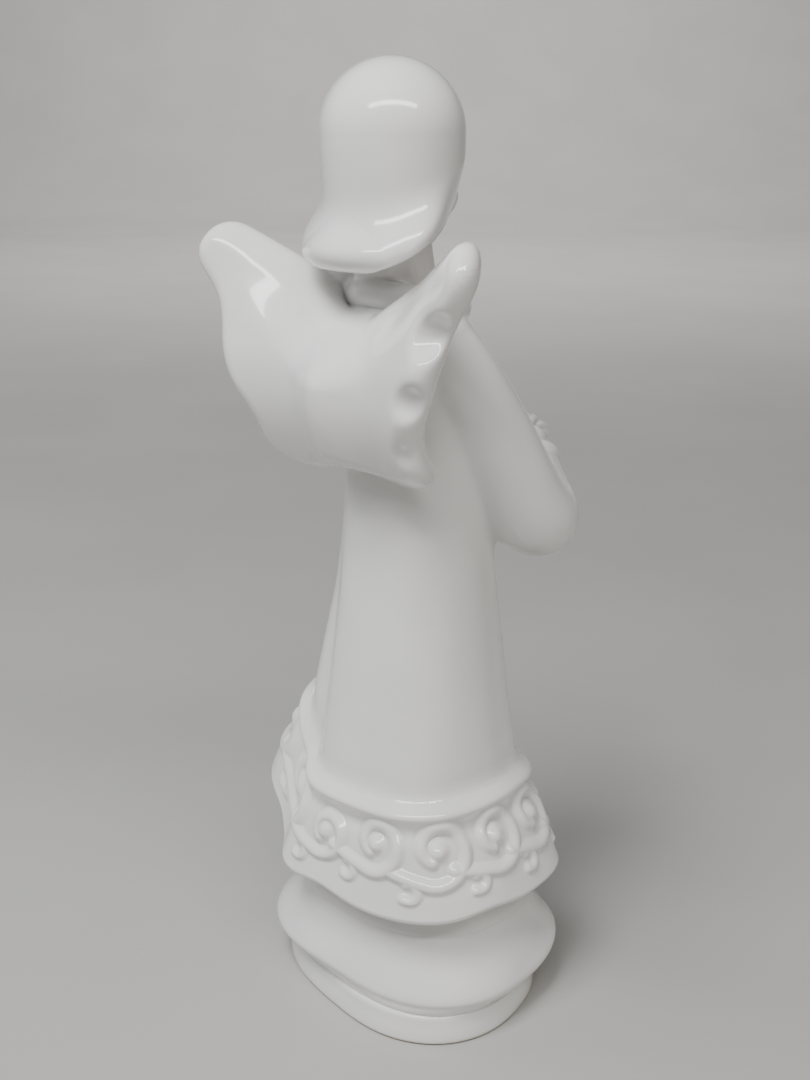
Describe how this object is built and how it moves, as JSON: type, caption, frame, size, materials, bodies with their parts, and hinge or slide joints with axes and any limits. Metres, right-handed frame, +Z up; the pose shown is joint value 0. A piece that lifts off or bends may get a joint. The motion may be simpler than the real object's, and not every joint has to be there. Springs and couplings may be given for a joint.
{
  "type": "porcelain figurine",
  "caption": "Standing white glazed porcelain angel figurine with a bell-shaped robe, a scroll-relief border, wide sleeves, joined hands and a pair of thick wings.",
  "frame": {"origin": "centre of the oval foot, on the surface that the figurine stands on", "axes": "+Z up through the crown; -Y is the front, the way the figure faces; +X is the figure's own left"},
  "size_m": [0.074, 0.0713, 0.1999],
  "materials": {
    "glazed_porcelain": "clear high-gloss glaze over white porcelain",
    "biscuit": "unglazed fired porcelain, fine and matt, as on the wiped foot ring"
  },
  "bodies": {
    "root": {"foot": "glazed_porcelain", "base_floor": "biscuit", "lower_flounce": "glazed_porcelain", "underskirt": "glazed_porcelain", "hem_band": "glazed_porcelain", "hem_cord": "glazed_porcelain", "robe": "glazed_porcelain", "collar": "glazed_porcelain", "neck": "glazed_porcelain", "head": "glazed_porcelain", "hair": "glazed_porcelain", "left_sleeve": "glazed_porcelain", "right_sleeve": "glazed_porcelain", "left_cuff": "glazed_porcelain", "right_cuff": "glazed_porcelain", "left_hand": "glazed_porcelain", "right_hand": "glazed_porcelain", "left_wing": "glazed_porcelain", "right_wing": "glazed_porcelain", "scroll_01": "glazed_porcelain", "scroll_02": "glazed_porcelain", "scroll_03": "glazed_porcelain", "scroll_04": "glazed_porcelain", "scroll_05": "glazed_porcelain", "scroll_06": "glazed_porcelain", "scroll_07": "glazed_porcelain", "scroll_08": "glazed_porcelain", "scroll_09": "glazed_porcelain", "scroll_10": "glazed_porcelain", "scroll_11": "glazed_porcelain", "scroll_12": "glazed_porcelain"}
  },
  "joints": []
}
